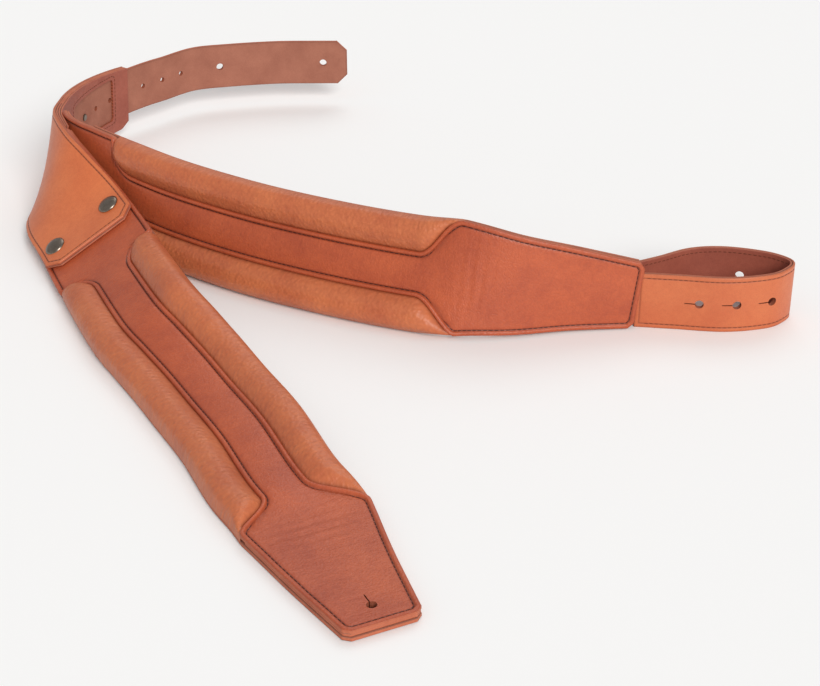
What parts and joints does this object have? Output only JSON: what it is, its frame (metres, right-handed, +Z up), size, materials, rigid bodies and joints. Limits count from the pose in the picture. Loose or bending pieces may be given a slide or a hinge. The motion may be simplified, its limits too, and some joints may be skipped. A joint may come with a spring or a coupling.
{
  "type": "guitar strap",
  "caption": "Dual-shoulder leather guitar strap: two padded shoulder straps on a yoke, with a snap flap, an adjustable tail and a front loop.",
  "frame": {"origin": "centre of the bounding box in plan, at the surface the strap stands on", "axes": "+Z up; -Y towards the tip of pad A, +Y towards the tail, +X towards the front loop"},
  "size_m": [0.6354, 0.9059, 0.0904],
  "materials": {
    "orange_leather": "smooth, satin",
    "red_leather": "smooth, satin",
    "grained_leather": "soft pebbled grain",
    "brown_leather": "matte, flesh side",
    "foam": "matte foam",
    "snap_metal": "antique gunmetal"
  },
  "bodies": {
    "yoke": {"yoke_outer": "orange_leather", "yoke_lining": "brown_leather", "pad_a_neck_front": "red_leather", "pad_a_neck_back": "brown_leather", "snap_stud_lower": "snap_metal", "snap_stud_upper": "snap_metal", "snap_post_lower": "snap_metal", "snap_post_upper": "snap_metal", "pad_b_neck_front": "red_leather", "pad_b_neck_back": "brown_leather"},
    "flap": {"snap_flap": "orange_leather", "flap_lining": "brown_leather", "snap_cap_lower": "snap_metal", "snap_cap_upper": "snap_metal", "snap_socket_lower": "snap_metal", "snap_socket_upper": "snap_metal"},
    "tail": {"tail_tongue": "brown_leather", "lock_screw_head": "snap_metal", "lock_screw_post": "snap_metal"},
    "pad_a": {"pad_a_front_panel": "red_leather", "pad_a_back_panel": "brown_leather", "pad_a_core": "brown_leather", "pad_a_ridge_lower": "grained_leather", "pad_a_ridge_upper": "grained_leather", "pad_a_foam_lower": "foam", "pad_a_foam_upper": "foam"},
    "pad_b": {"pad_b_front_panel": "red_leather", "pad_b_back_panel": "brown_leather", "pad_b_core": "brown_leather", "pad_b_ridge_lower": "grained_leather", "pad_b_ridge_upper": "grained_leather", "pad_b_foam_lower": "foam", "pad_b_foam_upper": "foam", "loop_anchor": "brown_leather"},
    "loop": {"loop_outer": "orange_leather", "loop_lining": "brown_leather"}
  },
  "joints": [
    {"name": "tail_slide", "type": "hinge", "parent": "yoke", "child": "tail", "pos_m": [-0.0731, 0.2303, 0.046], "axis": [0, 0, -1], "range_deg": [-4, 11.2]},
    {"name": "flap_lift", "type": "hinge", "parent": "yoke", "child": "flap", "pos_m": [-0.2745, 0.09075, 0.03947], "axis": [-0.7022, -0.2879, -0.6512], "range_deg": [0, 100]},
    {"name": "pad_a_flex", "type": "hinge", "parent": "yoke", "child": "pad_a", "pos_m": [-0.23651, 0.02226, 0.0292], "axis": [-0.8015, -0.3362, -0.4945], "range_deg": [0, 35]},
    {"name": "pad_b_flex", "type": "hinge", "parent": "yoke", "child": "pad_b", "pos_m": [-0.26161, 0.13897, 0.04538], "axis": [0, 0, 1], "range_deg": [-3, 25]},
    {"name": "loop_flex", "type": "hinge", "parent": "pad_b", "child": "loop", "pos_m": [0.1973, -0.0575, 0.023], "axis": [0, 0, -1], "range_deg": [0, 29]}
  ]
}
